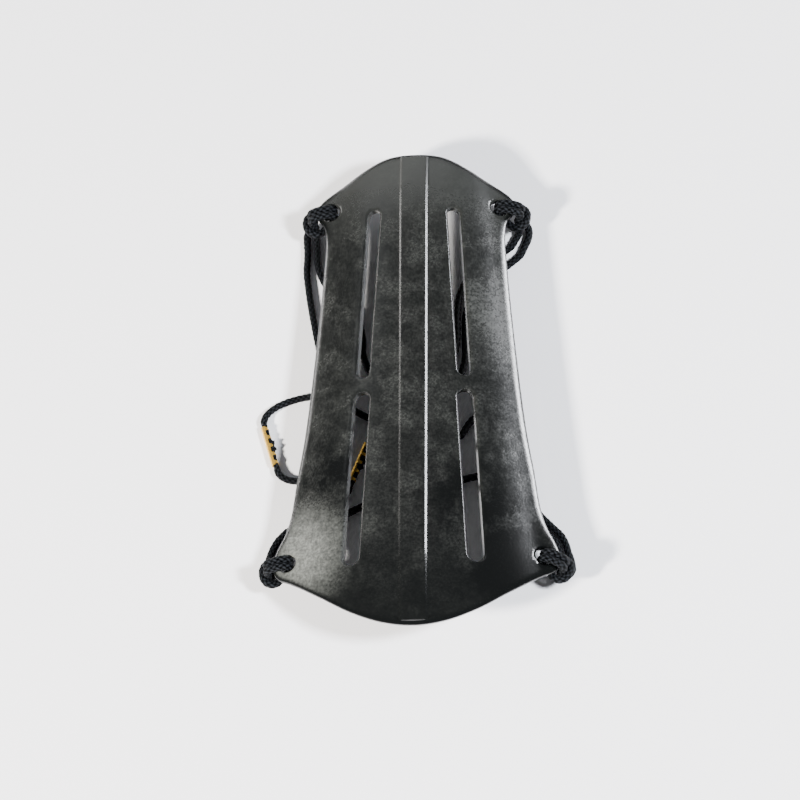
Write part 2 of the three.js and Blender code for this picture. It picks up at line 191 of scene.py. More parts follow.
class ShellSettings(PropertyGroup):
    """Moulded shell of the guard."""

    wall: FloatProperty(name="Wall", description="Thickness of the moulding", default=2.6 * MM, unit="LENGTH")
    crown: FloatProperty(
        name="Crown height", description="Height of the crown at mid length", default=24 * MM, unit="LENGTH")
    arch: FloatProperty(
        name="Arch radius", description="Radius of the arch at mid length", default=60.5 * MM, unit="LENGTH")
    plain: FloatProperty(
        name="Plain half width", description="Distance from the middle to where an ear turns flatter",
        default=34.6 * MM, unit="LENGTH")
    band: FloatProperty(
        name="Band half width", description="Half the width of the raised middle band", default=4.1 * MM,
        unit="LENGTH")
    band_rise: FloatProperty(
        name="Band rise", description="Height of the raised middle band", default=0.6 * MM, unit="LENGTH")
    hole: FloatProperty(
        name="Hole radius", description="Radius of the cord hole in each ear", default=2.95 * MM,
        unit="LENGTH")
    lip: FloatProperty(
        name="Lip", description="Width of the eased rim of slots and holes", default=0.65 * MM, unit="LENGTH")
    roll: FloatProperty(
        name="Roll", description="How far the top rolls over towards the rim", default=0.36 * MM,
        unit="LENGTH")
    spacing: FloatProperty(
        name="Outline spacing", description="Distance of mesh points along the outline", default=0.75 * MM,
        unit="LENGTH")
    colour: FloatVectorProperty(
        name="Plastic", description="Colour of the dark plastic", default=linear_colour("#070808"),
        subtype="COLOR", min=0, max=1)
    # This grey stands for dust and also for painted sheen on the shell.
    dust_and_sheen: FloatVectorProperty(
        name="Bloom", description="Colour of rubbed and dusty patches", default=linear_colour("#5e605c"),
        subtype="COLOR", min=0, max=1)


class CordSettings(PropertyGroup):
    """Braided elastic cord. Its yarns are drawn coarser than real ones, so that they show."""

    radius: FloatProperty(name="Radius", description="Radius of the cord", default=1.2 * MM, unit="LENGTH")
    relief: FloatProperty(
        name="Braid relief", description="Depth between the braid's yarns", default=0.26 * MM, unit="LENGTH")
    yarns: IntProperty(name="Yarns", description="Yarns that wind each way round the cord", default=5)
    swell: FloatProperty(
        name="Swell", description="Extra radius of the cord where it is bunched in a hitch",
        default=0.14 * MM, unit="LENGTH")
    pitch: FloatProperty(
        name="Yarn pitch", description="Distance of yarns along the cord", default=1.9 * MM, unit="LENGTH")
    sides: IntProperty(name="Sides", description="Mesh points round the cord", default=32)
    spacing: FloatProperty(
        name="Spacing", description="Distance of mesh rings along the cord", default=0.3 * MM, unit="LENGTH")
    squeezed: FloatProperty(
        name="Squeezed radius", description="Radius of the cord inside a crimp", default=1.0 * MM,
        unit="LENGTH")
    # The yarn colour shows only on the crowns, as a painted glint; the colour between the yarns is painted
    # shade.
    colour: FloatVectorProperty(
        name="Yarn", description="Colour of the yarns", default=linear_colour("#212326"), subtype="COLOR",
        min=0, max=1)
    shade: FloatVectorProperty(
        name="Between yarns", description="Colour between the yarns", default=linear_colour("#010101"),
        subtype="COLOR", min=0, max=1)


class CrimpSettings(PropertyGroup):
    """Pressed brass crimp."""

    outer: FloatProperty(
        name="Outer radius", description="Radius of the crimp's outside", default=1.45 * MM, unit="LENGTH")
    inner: FloatProperty(
        name="Inner radius", description="Radius of the crimp's inside", default=1.05 * MM, unit="LENGTH")
    cover: FloatProperty(
        name="Back", description="How far the plain back goes round the cord", default=math.radians(178),
        subtype="ANGLE")
    clasp: FloatProperty(
        name="Claw reach", description="How far a claw goes round the cord", default=math.radians(304),
        subtype="ANGLE")
    claws: IntProperty(name="Claws", description="Claws on each side", default=5)
    claw_length: FloatProperty(
        name="Claw length", description="Length of a claw along the crimp", default=1.0 * MM, unit="LENGTH")
    colour: FloatVectorProperty(
        name="Brass", description="Colour of the brass", default=linear_colour("#e6b957"), subtype="COLOR",
        min=0, max=1)


class StageSettings(PropertyGroup):
    """Floor, light and camera."""

    floor: FloatVectorProperty(
        name="Floor", description="Colour of the table", default=linear_colour("#eeeef0"), subtype="COLOR",
        min=0, max=1)
    elevation: FloatProperty(
        name="Camera tilt", description="Camera's angle above the table", default=math.radians(66),
        subtype="ANGLE")
    roll: FloatProperty(
        name="Camera side angle", description="Camera's angle to the guard's right side",
        default=math.radians(4.5), subtype="ANGLE")
    distance: FloatProperty(
        name="Camera distance", description="Distance from the camera to the guard", default=2.5,
        unit="LENGTH")
    view: FloatProperty(
        name="View width", description="Width of the picture at the guard", default=268.7 * MM, unit="LENGTH")
    aim_right: FloatProperty(
        name="Aim right", description="Picture's middle right of the origin", default=-6.2 * MM,
        unit="LENGTH")
    aim_up: FloatProperty(
        name="Aim up", description="Picture's middle above the origin", default=3.58 * MM, unit="LENGTH")


def unit(vectors):
    """Vectors divided by their own lengths."""
    return vectors / np.linalg.norm(vectors, axis=-1, keepdims=True)


def smooth_line(points, closed=False, samples=12):
    """Line through points: each span is a cubic whose end slopes come from neighbouring points at root-length
    spacing. Point number i of the input is number i * samples of the result."""
    points = np.asarray(points, float)
    if closed:
        around = [np.roll(points, shift, axis=0) for shift in (1, 0, -1, -2)]
    else:
        longer = np.vstack([2 * points[0] - points[1], points, 2 * points[-1] - points[-2]])
        count = len(points) - 1
        around = [longer[i:i + count] for i in range(4)]
    before, here, after, beyond = around
    gaps = [np.sqrt(np.linalg.norm(b - a, axis=1))[:, None] for a, b in zip(around, around[1:])]
    leave = (here - before) / gaps[0] - (after - before) / (gaps[0] + gaps[1]) + (after - here) / gaps[1]
    reach = (after - here) / gaps[1] - (beyond - here) / (gaps[1] + gaps[2]) + (beyond - after) / gaps[2]
    leave, reach = (leave * gaps[1])[:, None], (reach * gaps[1])[:, None]
    here, after = here[:, None], after[:, None]
    t = (np.arange(samples) / samples)[None, :, None]
    cubic = here + leave * t + (3 * (after - here) - 2 * leave - reach) * t ** 2
    cubic = cubic + (2 * (here - after) + leave + reach) * t ** 3
    line = cubic.reshape(-1, points.shape[1])
    return line if closed else np.vstack([line, points[-1]])


def lengths_along(line):
    """Length of the line from its start to each of its points."""
    return np.concatenate([[0], np.cumsum(np.linalg.norm(np.diff(line, axis=0), axis=1))])


def even_line(line, spacing):
    """The line again, with points at even distances."""
    along = lengths_along(line)
    at = np.linspace(0, along[-1], max(2, round(along[-1] / spacing) + 1))
    return np.stack([np.interp(at, along, line[:, axis]) for axis in range(line.shape[1])], axis=1)


def droop_at(distance, droop):
    """Square-law droop that begins at droop[0] and reaches droop[2] after droop[1]."""
    return droop[2] * np.maximum(0, (distance - droop[0]) / droop[1]) ** 2


def surface_height(shell, x, y):
    """Top surface: a circular arch whose radius and width grow towards the elbow, blended into straight
    slopes in the ears, less the fall of the crown and the droop of both ends."""
    across = np.abs(x)
    radius = shell.arch - ARCH_TAPER * y
    plain = shell.plain - PLAIN_TAPER * y
    arched = plain - EAR_BLEND * np.logaddexp(0, (plain - across) / EAR_BLEND)
    fall = radius - np.sqrt(radius ** 2 - arched ** 2) + EAR_SLOPE * (across - arched)
    return shell.crown - CROWN_FALL * y - fall - droop_at(y, WRIST_DROOP) - droop_at(-y, ELBOW_DROOP)


def surface_normal(shell, x, y):
    """Upward normal of the top surface from its slopes along x and y."""
    step = 0.05 * MM
    slope_x = (surface_height(shell, x + step, y) - surface_height(shell, x - step, y)) / (2 * step)
    slope_y = (surface_height(shell, x, y + step) - surface_height(shell, x, y - step)) / (2 * step)
    return unit(np.stack([-slope_x, -slope_y, np.ones_like(slope_x)], axis=-1))


def off_surface(shell, x, y, lift):
    """Points above or below the top surface along its normal."""
    foot = np.stack([x, y, surface_height(shell, x, y)], axis=-1)
    return foot + np.asarray(lift)[..., None] * surface_normal(shell, x, y)


def grid_faces(rows, columns, wrap=True):
    """Four-sided faces of a grid whose rows follow one another, closed round each row if wrap is set."""
    last = columns if wrap else columns - 1
    row, column = np.meshgrid(np.arange(rows - 1), np.arange(last), indexing="ij")
    a = (row * columns + column).ravel()
    b = (row * columns + (column + 1) % columns).ravel()
    return np.stack([a, b, b + columns, a + columns], axis=1)


def new_piece(name, points, faces, material):
    """Mesh object at the origin that rides on the guard and takes its finish from a named slot."""
    mesh = bpy.data.meshes.new(name)
    mesh.from_pydata(points.tolist(), [], faces)
    mesh.polygons.foreach_set("use_smooth", np.ones(len(mesh.polygons), dtype=bool))
    mesh.materials.append(material)
    mesh.update()
    piece = bpy.data.objects.new(name, mesh)
    bpy.context.scene.collection.objects.link(piece)
    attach(piece, ROOT)
    return piece


def add_node(tree, kind, settings=None, inputs=None):
    """Node with its settings, and with each input set to a value or linked to (node, output)."""
    node = tree.nodes.new(kind)
    for key, value in (settings or {}).items():
        setattr(node, key, value)
    for key, value in (inputs or {}).items():
        if isinstance(value, tuple) and isinstance(value[0], bpy.types.Node):
            tree.links.new(value[0].outputs[value[1]], node.inputs[key])
        else:
            node.inputs[key].default_value = value
    return node


def new_material(name):
    """Empty node material and its tree."""
    material = bpy.data.materials.new(name)
    material.use_nodes = True
    material.node_tree.nodes.clear()
    return material, material.node_tree


def moulded_plastic(shell):
    """Satin black moulded plastic. A leathery mould grain breaks the gloss into specks. Dust clouds and
    places of painted sheen are greyer and duller than the rest, and painted shade makes other places and the
    elbow end darker. The wrist end is evenly lighter with painted sheen."""
    material, tree = new_material("satin_black_moulded_plastic")
    place = add_node(tree, "ShaderNodeTexCoord")
    # Clouds are some 11 mm across and mottling 2.6 mm. The grain of 0.4 mm is drawn at 0.8 mm so that it
    # shows.
    clouds = add_node(tree, "ShaderNodeTexNoise", None, {
        "Vector": (place, "Object"), "Scale": 1 / (11 * MM), "Detail": 3.0, "Roughness": 0.6})
    mottle = add_node(tree, "ShaderNodeTexNoise", None, {
        "Vector": (place, "Object"), "Scale": 1 / (2.6 * MM), "Detail": 5.0, "Roughness": 0.75})
    grain = add_node(tree, "ShaderNodeTexNoise", None, {
        "Vector": (place, "Object"), "Scale": 1 / (0.8 * MM), "Detail": 2.0, "Roughness": 0.6})
    dust_and_elbow_shade = add_node(tree, "ShaderNodeMapRange", {"interpolation_type": "SMOOTHSTEP"}, {
        "Value": (clouds, "Fac"), "From Min": 0.38, "From Max": 0.66, "To Min": 0.055, "To Max": 0.15})
    along = add_node(tree, "ShaderNodeSeparateXYZ", None, {"Vector": (place, "Object")})
    # Painted shade: the grey fades towards the elbow end, so that end is darker.
    end = add_node(tree, "ShaderNodeMapRange", {"interpolation_type": "SMOOTHSTEP"}, {
        "Value": (along, "Y"), "From Min": -82 * MM, "From Max": -44 * MM, "To Min": 0.18, "To Max": 1.0})
    dust_and_elbow_shade = add_node(tree, "ShaderNodeMath", {"operation": "MULTIPLY"}, {0: (dust_and_elbow_shade, 0), 1: (end, 0)})
    smooth = add_node(tree, "ShaderNodeMapRange", {"interpolation_type": "SMOOTHSTEP"}, {
        "Value": (along, "Y"), "From Min": 52 * MM, "From Max": 80 * MM, "To Min": 1.0, "To Max": 0.25})
    dust_and_elbow_shade = add_node(tree, "ShaderNodeMath", {"operation": "MULTIPLY"}, {0: (dust_and_elbow_shade, 0), 1: (smooth, 0)})
    # Painted sheen: the wrist end grows evenly lighter, standing in for the dome's reflection of the bright
    # room.
    painted_dome_sheen = add_node(tree, "ShaderNodeMapRange", {"interpolation_type": "SMOOTHSTEP"}, {
        "Value": (along, "Y"), "From Min": 52 * MM, "From Max": 86 * MM, "To Min": 0.0, "To Max": 0.16})
    # Painted sheen and painted shade: each patch makes the grey lighter or darker round a point.
    painted_sheen_and_shade = 0.0
    for x, y, z, reach, strength in PAINTED_SHEEN_AND_SHADE:
        away = add_node(tree, "ShaderNodeVectorMath", {"operation": "DISTANCE"}, {
            0: (place, "Object"), 1: (x * MM, y * MM, z * MM)})
        patch = add_node(tree, "ShaderNodeMapRange", {"interpolation_type": "SMOOTHSTEP"}, {
            "Value": (away, "Value"), "From Min": 0.0, "From Max": reach * MM,
            "To Min": strength, "To Max": 0.0})
        painted_sheen_and_shade = (add_node(tree, "ShaderNodeMath", {"operation": "ADD"}, {0: painted_sheen_and_shade, 1: (patch, 0)}), 0)
    speckle = add_node(tree, "ShaderNodeMapRange", None, {
        "Value": (mottle, "Fac"), "From Min": 0.34, "From Max": 0.66, "To Min": 0.35, "To Max": 1.0})
    speckled_dust_and_shade = add_node(tree, "ShaderNodeMath", {"operation": "MULTIPLY"}, {0: (dust_and_elbow_shade, 0), 1: (speckle, 0)})
    flecks = add_node(tree, "ShaderNodeMapRange", None, {
        "Value": (grain, "Fac"), "From Min": 0.36, "From Max": 0.66, "To Min": 0.5, "To Max": 1.5})
    speckled_dust_and_shade = add_node(tree, "ShaderNodeMath", {"operation": "MULTIPLY"}, {0: (speckled_dust_and_shade, 0), 1: (flecks, 0)})
    faint = add_node(tree, "ShaderNodeMapRange", None, {
        "Value": (mottle, "Fac"), "From Min": 0.3, "From Max": 0.7, "To Min": 0.5, "To Max": 1.3})
    fine = add_node(tree, "ShaderNodeMapRange", None, {
        "Value": (grain, "Fac"), "From Min": 0.36, "From Max": 0.66, "To Min": 0.65, "To Max": 1.3})
    faint = add_node(tree, "ShaderNodeMath", {"operation": "MULTIPLY"}, {0: (faint, 0), 1: (fine, 0)})
    dust_sheen_and_shade = add_node(tree, "ShaderNodeMath", {"operation": "MULTIPLY_ADD"}, {
        0: painted_sheen_and_shade, 1: (faint, 0), 2: (speckled_dust_and_shade, 0)})
    dust_sheen_and_shade = add_node(tree, "ShaderNodeMath", {"operation": "ADD"}, {0: (dust_sheen_and_shade, 0), 1: (painted_dome_sheen, 0)})
    # The face keeps its grey of dust and painted sheen, while rim and underside lose it: painted shade along
    # the rim.
    rim = add_node(tree, "ShaderNodeAttribute", {"attribute_name": "rim"})
    face = add_node(tree, "ShaderNodeMapRange", None, {"Value": (rim, "Fac"), "To Min": 1.0, "To Max": 0.05})
    dust_sheen_and_shade = add_node(tree, "ShaderNodeMath", {"operation": "MULTIPLY", "use_clamp": True}, {
        0: (dust_sheen_and_shade, 0), 1: (face, 0)})
    # Mix towards grey: dust, painted sheen and painted shade.
    colour = add_node(tree, "ShaderNodeMix", {"data_type": "RGBA"}, {
        "Factor": (dust_sheen_and_shade, 0), 6: (*shell.colour, 1), 7: (*shell.dust_and_sheen, 1)})
    rough = add_node(tree, "ShaderNodeMapRange", None, {
        "Value": (dust_sheen_and_shade, 0), "From Min": 0.0, "From Max": 0.4, "To Min": 0.17, "To Max": 0.5})
    bump_fine = add_node(tree, "ShaderNodeBump", None, {
        "Height": (grain, "Fac"), "Strength": 0.25, "Distance": 0.08 * MM})
    bump = add_node(tree, "ShaderNodeBump", None, {
        "Height": (mottle, "Fac"), "Normal": (bump_fine, "Normal"), "Strength": 0.2, "Distance": 0.12 * MM})
    shader = add_node(tree, "ShaderNodeBsdfPrincipled", None, {
        "Base Color": (colour, 2), "Roughness": (rough, 0), "Normal": (bump, "Normal"), "IOR": 1.5})
    add_node(tree, "ShaderNodeOutputMaterial", None, {"Surface": (shader, "BSDF")})
    return material


def braided_elastic(cord):
    """Polyester braid over a rubber core: matt round yarns painted lighter along their crowns as a painted
    glint, with painted shade in the gaps between them."""
    material, tree = new_material("black_polyester_braid")
    crown = add_node(tree, "ShaderNodeAttribute", {"attribute_name": "braid"})
    place = add_node(tree, "ShaderNodeTexCoord")
    # The filaments of a yarn are 0.02 mm thick; they are drawn as 0.12 mm streaks so that they show.
    fibre = add_node(tree, "ShaderNodeTexNoise", None, {
        "Vector": (place, "Object"), "Scale": 1 / (0.12 * MM), "Detail": 2.0})
    lit = add_node(tree, "ShaderNodeMapRange", None, {
        "Value": (crown, "Fac"), "From Min": 0.55, "From Max": 1.0, "To Min": 0.0, "To Max": 1.0})
    colour = add_node(tree, "ShaderNodeMix", {"data_type": "RGBA"}, {
        "Factor": (lit, 0), 6: (*cord.shade, 1), 7: (*cord.colour, 1)})
    rough = add_node(tree, "ShaderNodeMapRange", None, {
        "Value": (fibre, "Fac"), "To Min": 0.5, "To Max": 0.75})
    bump = add_node(tree, "ShaderNodeBump", None, {
        "Height": (fibre, "Fac"), "Strength": 0.3, "Distance": 0.05 * MM})
    shader = add_node(tree, "ShaderNodeBsdfPrincipled", None, {
        "Base Color": (colour, 2), "Roughness": (rough, 0), "Normal": (bump, "Normal"),
        "Specular IOR Level": 0.1})
    add_node(tree, "ShaderNodeOutputMaterial", None, {"Surface": (shader, "BSDF")})
    return material


def pressed_brass(crimp):
    """Bright pressed brass: a yellow mirror softened by fine drawing marks and a little tarnish."""
    material, tree = new_material("pressed_brass")
    place = add_node(tree, "ShaderNodeTexCoord")
    # Tarnish is some 1.5 mm across, drawing marks about 0.15 mm.
    tarnish = add_node(tree, "ShaderNodeTexNoise", None, {
        "Vector": (place, "Object"), "Scale": 1 / (1.5 * MM), "Detail": 3.0})
    marks = add_node(tree, "ShaderNodeTexNoise", None, {
        "Vector": (place, "Object"), "Scale": 1 / (0.15 * MM), "Detail": 2.0})
    dulled = add_node(tree, "ShaderNodeMapRange", None, {
        "Value": (tarnish, "Fac"), "From Min": 0.45, "From Max": 0.75, "To Min": 0.0, "To Max": 0.3})
    colour = add_node(tree, "ShaderNodeMix", {"data_type": "RGBA"}, {
        "Factor": (dulled, 0), 6: (*crimp.colour, 1), 7: (*linear_colour("#b08a3c"), 1)})
    rough = add_node(tree, "ShaderNodeMapRange", None, {
        "Value": (tarnish, "Fac"), "To Min": 0.18, "To Max": 0.4})
    bump = add_node(tree, "ShaderNodeBump", None, {
        "Height": (marks, "Fac"), "Strength": 0.15, "Distance": 0.02 * MM})
    shader = add_node(tree, "ShaderNodeBsdfPrincipled", None, {
        "Base Color": (colour, 2), "Roughness": (rough, 0), "Normal": (bump, "Normal"), "Metallic": 0.8})
    add_node(tree, "ShaderNodeOutputMaterial", None, {"Surface": (shader, "BSDF")})
    return material


def painted_table(stage):
    """White matt table top."""
    material, tree = new_material("white_matt_laminate")
    shader = add_node(tree, "ShaderNodeBsdfPrincipled", None, {
        "Base Color": (*stage.floor, 1), "Roughness": 0.55})
    add_node(tree, "ShaderNodeOutputMaterial", None, {"Surface": (shader, "BSDF")})
    return material


def shell_rows(shell):
    """Rings of the shell as columns half width of the spine, its length share, way from spine to rim, inset
    from the outline and lift: the raised band, its step, the top, the rolled rim and the underside. Also
    returns the half width at the foot of the step."""
    ease, step = 0.15 * MM, 0.75 * MM
    roll, corner = 2.2 * MM, 0.45 * MM
    inset = roll + corner
    lower_start = 1.9 * MM
    foot = shell.band + step
    band = [(shell.band * share, shell.band_rise) for share in (0, 0.3, 0.6, 0.85)]
    band += [(shell.band - ease, shell.band_rise), (shell.band, shell.band_rise - 0.4 * ease)]
    band += [(foot - ease, 0.5 * ease), (foot, 0)]
    half, lift = np.array(band).T
    share = SPINE_SHARE - BAND_LESS * (1 - half / foot)
    rows = [np.column_stack([half, share, 0 * half, 0 * half, lift])]
    way = np.linspace(0, 1, 25)[1:-1]
    one = np.ones_like(way)
    rows.append(np.column_stack([foot * one, SPINE_SHARE * one, way, inset * one, 0 * one]))
    over = np.linspace(0, roll, 7)[:-1]
    turned = np.linspace(0, np.pi / 2, 8)
    edge = np.concatenate([over, roll + corner * np.sin(turned)])
    rolled = np.where(edge < roll, (edge / roll) ** 2, 2 * edge / roll - 1)
    rounded = np.concatenate([0 * over, corner * (1 - np.cos(turned))])
    upper = np.column_stack([inset - edge, -shell.roll * rolled - rounded])
    low = np.linspace(0, np.pi / 2, 6)
    depth = lower_start + (shell.wall - lower_start) * np.sin(low)
    lower = np.column_stack([corner * (1 - np.cos(low)), -depth])
    rim = np.vstack([upper, lower])
    one = np.ones(len(rim))
    rows.append(np.column_stack([0 * one, UNDER_SHARE * one, one, rim]))
    back = np.linspace(1, 0, 16)[1:]
    one = np.ones_like(back)
    rows.append(np.column_stack([0 * one, UNDER_SHARE * one, back, corner * one, -shell.wall * one]))
    return np.vstack(rows), foot


def shell_outline(shell):
    """Outline as an even line, right half first and its mirror image back, and the inward direction at each
    point."""
    mirrored = HALF_OUTLINE[1:-1][::-1] * (-1, 1)
    samples = 24
    whole = smooth_line(np.vstack([HALF_OUTLINE, mirrored]), closed=True, samples=samples)
    right = even_line(whole[:(len(HALF_OUTLINE) - 1) * samples + 1], shell.spacing)
    right[[0, -1], 0] = 0
    outline = np.vstack([right, right[1:-1][::-1] * (-1, 1)])
    along = unit(np.roll(outline, -1, axis=0) - np.roll(outline, 1, axis=0))
    return outline, np.stack([along[:, 1], -along[:, 0]], axis=1)


def shell_body(shell):
    """Closed shell: each ring is the outline drawn in towards the spine by its way share, then moved along
    the surface normal by its lift. The innermost rings fold on to the spine, where both halves share
    points. Returns points, faces, and a share that goes from 0 on the top to 1 on the rim and underside."""
    merge, shade_from = 0.001 * MM, 0.6
    rows, foot = shell_rows(shell)
    outline, inward = shell_outline(shell)
    half, share, way, inset, lift = (column[:, None] for column in rows.T)
    spine_x = half * np.clip(outline[:, 0] / foot, -1, 1)
    spine_y = share * outline[:, 1]
    edge_x = outline[:, 0] + inset * inward[:, 0]
    edge_y = outline[:, 1] + inset * inward[:, 1]
    x = spine_x + way * (edge_x - spine_x)
    y = spine_y + way * (edge_y - spine_y)
    points = off_surface(shell, x, y, np.broadcast_to(lift, x.shape)).reshape(-1, 3)
    faces = grid_faces(len(rows), len(outline))
    _, first, place = np.unique(
        np.round(points / merge).astype(np.int64), axis=0, return_index=True, return_inverse=True)
    # This share takes the grey off the rim in the material, which paints shade along the rim.
    rim = np.broadcast_to(np.clip(-lift / (shade_from * shell.roll), 0, 1), x.shape).reshape(-1)
    return points[first], place.reshape(-1)[faces], rim[first].astype(np.float32)


def cutter_body(shell, start, stop, radius):
    """Cutter that stands square to the surface: a ring round the middle line from start to stop, wider at the
    eased lip, at several lifts, with both ends closed across. A slot's straight sides take points of their
    own, and a round hole has none."""
    arc = np.linspace(-np.pi / 2, np.pi / 2, 24)
    run = stop - start
    heading = math.atan2(run[1], run[0])
    side_points = 40 if math.hypot(*run) > radius else 0
    side = np.linspace(0, 1, side_points + 2)[1:-1, None]
    out = np.concatenate([arc + heading, np.full(len(side), heading + np.pi / 2), arc + heading + np.pi,
                          np.full(len(side), heading - np.pi / 2)])
    middle = np.vstack([np.tile(stop, (len(arc), 1)), stop + side * (start - stop),
                        np.tile(start, (len(arc), 1)), start + side * (stop - start)])
    grow, lift = np.array([
        (2.4 * shell.lip, 0.6 * MM), (shell.lip, 0), (0.42 * shell.lip, -0.32 * shell.lip), (0, -shell.lip),
        (0, -shell.wall - MM)]).T[:, :, None]
    x = middle[:, 0] + (radius + grow) * np.cos(out)
    y = middle[:, 1] + (radius + grow) * np.sin(out)
    points = off_surface(shell, x, y, np.broadcast_to(lift, x.shape)).reshape(-1, 3)
    count = len(out)
    faces = grid_faces(len(grow), count)[:, ::-1].tolist()
    last = (len(grow) - 1) * count
    return points, faces + [list(range(count)), list(range(last + count - 1, last - 1, -1))]


def cut_shell(piece, shell):
    """Cuts the slots and ear holes out of the shell and keeps its edges crisp."""
    points, faces = [], []
    for side in (1, -1):
        mirror = np.array([side, 1])
        cutters = []
        for x0, y0, x1, y1, width in SLOTS:
            start, stop = np.array([x0, y0]), np.array([x1, y1])
            trim = unit(stop - start) * width / 2
            cutters.append((mirror * (start + trim), mirror * (stop - trim), width / 2))
        for ear in EARS.values():
            hole = mirror * MM * np.array(ear["hole"])
            cutters.append((hole, hole + mirror * (0, 0.01 * MM), shell.hole))
        for start, stop, radius in cutters:
            base = sum(len(part) for part in points)
            body, sides = cutter_body(shell, start, stop, radius)
            points.append(body)
            faces += [[base + index for index in face] for face in sides]
    mesh = bpy.data.meshes.new("shell_cutters")
    mesh.from_pydata(np.vstack(points).tolist(), [], faces)
    tool = bpy.data.objects.new("shell_cutters", mesh)
    bpy.context.scene.collection.objects.link(tool)
    cut = piece.modifiers.new("slots_and_holes", "BOOLEAN")
    cut.operation = "DIFFERENCE"
    cut.solver = "MANIFOLD"
    cut.object = tool
    finished = bpy.data.meshes.new_from_object(piece.evaluated_get(bpy.context.evaluated_depsgraph_get()))
    piece.modifiers.clear()
    plain = piece.data
    if len(finished.vertices) in (0, len(plain.vertices)):
        raise RuntimeError("The slots and holes were not cut out of the shell")
    piece.data = finished
    finished.name = plain.name
    bpy.data.meshes.remove(plain)
    bpy.data.objects.remove(tool)
    bpy.data.meshes.remove(mesh)
    finished.polygons.foreach_set("use_smooth", np.ones(len(finished.polygons), dtype=bool))
    finished.set_sharp_from_angle(angle=math.radians(32))
    # Large faces lead the shading, so that the panels stay flat up to the lips of the slots and holes.
    shading = piece.modifiers.new("panel_shading", "WEIGHTED_NORMAL")
    shading.keep_sharp = True


def hitch_line(shell, ear, side):
    """Points of the cord round one ear: from the leading strand's foot over the ear's edge, down the hole,
    under the ear and across in front of both legs, and back the same way to the rear strand's foot."""
    hole = MM * np.array(ear["hole"])
    normal = surface_normal(shell, hole[0], hole[1])
    feet = ear["right" if side > 0 else "left"]
    turn = math.radians(feet["turn"])
    heading = np.array([math.cos(turn), math.sin(turn), 0])
    outward = unit(heading - normal * (heading @ normal))
    across = np.cross(normal, outward) * ear["leaves"]
    axes = np.stack([outward, across, normal])
    origin = off_surface(shell, hole[0], hole[1], -shell.wall / 2)
    lead = np.vstack([MM * np.array(feet["lead"]), origin + HITCH_HALF @ axes])
    rear = np.vstack([MM * np.array(feet["rear"]), origin + (HITCH_HALF * (1, -1, 1)) @ axes])
    return np.vstack([lead, origin + HITCH_FRONT @ axes, rear[::-1]]) * (side, 1, 1)


def strand_line(name):
    """Points of a strand's route; a point without a height lies flat on the table."""
    return MM * np.array([(*point, CORD_REST)[:3] for point in ROUTES[name]])


def crimp_axes(loop):
    """Start, stop, axis, direction of the open side, and the third direction of a crimp."""
    row = CRIMPS[loop]
    start, stop = MM * np.array(row["start"]), MM * np.array(row["stop"])
    axis = unit(stop - start)
    opening = np.array([axis[1], -axis[0], 0]) * math.cos(row["open"]) + (0, 0, math.sin(row["open"]))
    return start, stop, axis, opening, np.cross(axis, opening)


def loop_parts(shell, loop):
    """Names and points of one loop's parts in order round the loop, from the crimp's middle and back to it.
    Both cut ends turn out of the crimp's open side."""
    start, stop, axis, opening, _ = crimp_axes(loop)
    middle = (start + stop) / 2
    along, out = CORD_TAIL[:, :1], CORD_TAIL[:, 1:]
    tails = [middle + way * along * axis + out * opening for way in (-1, 1)]
    ear = EARS[loop]
    return [
        (f"{loop}_left_strand", np.vstack([tails[0], strand_line(f"{loop}_left_strand")[::-1]])),
        (f"{loop}_left_hitch", hitch_line(shell, ear, -1)[::-1]),
        (f"{loop}_plain_strand", strand_line(f"{loop}_plain_strand")),
        (f"{loop}_right_hitch", hitch_line(shell, ear, 1)),
        (f"{loop}_right_strand", np.vstack([strand_line(f"{loop}_right_strand")[::-1], tails[1][::-1]])),
    ]


def turned_along(normal, tangent):
    """The normal carried on to the next tangent with no twist."""
    return unit(normal - tangent * (normal @ tangent))


def braid_crowns(around, along):
    """Height of the braid from 0 to 1: yarns of both directions are round ridges, and each goes over and
    under the other's in turn. Around is in yarns, along in yarn pitches."""
    dip, steepness = 0.55, 3
    left, right = around + along, around - along
    over = 0.5 + 0.5 * np.tanh(steepness * np.sin(np.pi * left) * np.sin(np.pi * right))
    ridge_left = 1 - (2 * (left % 1) - 1) ** 2
    ridge_right = 1 - (2 * (right % 1) - 1) ** 2
    return np.maximum(ridge_left * (1 - dip * (1 - over)), ridge_right * (1 - dip * over))


def cord_tube(line, radius, cord):
    """Braided tube: circles of the given radii square to the line, lowered between the yarns. Returns points
    as rows of circles, and the height of the braid at each point."""
    tangent = unit(np.gradient(line, axis=0))
    # Any direction will do that the line's start doesn't follow.
    aside = (0.3, 0.2, 0.9)
    first = unit(np.cross(tangent[0], aside))
    normal = np.array(list(accumulate(tangent[1:], turned_along, initial=first)))
    binormal = np.cross(tangent, normal)
    around = np.arange(cord.sides) / cord.sides
    along = lengths_along(line)[:, None]
    crowns = braid_crowns(cord.yarns * around[None, :], along / cord.pitch)
    angle = 2 * np.pi * around[None, :, None]
    reach = (radius[:, None] - cord.relief * (1 - crowns))[:, :, None]
    ring = reach * (np.cos(angle) * normal[:, None] + np.sin(angle) * binormal[:, None])
    return line[:, None] + ring, crowns


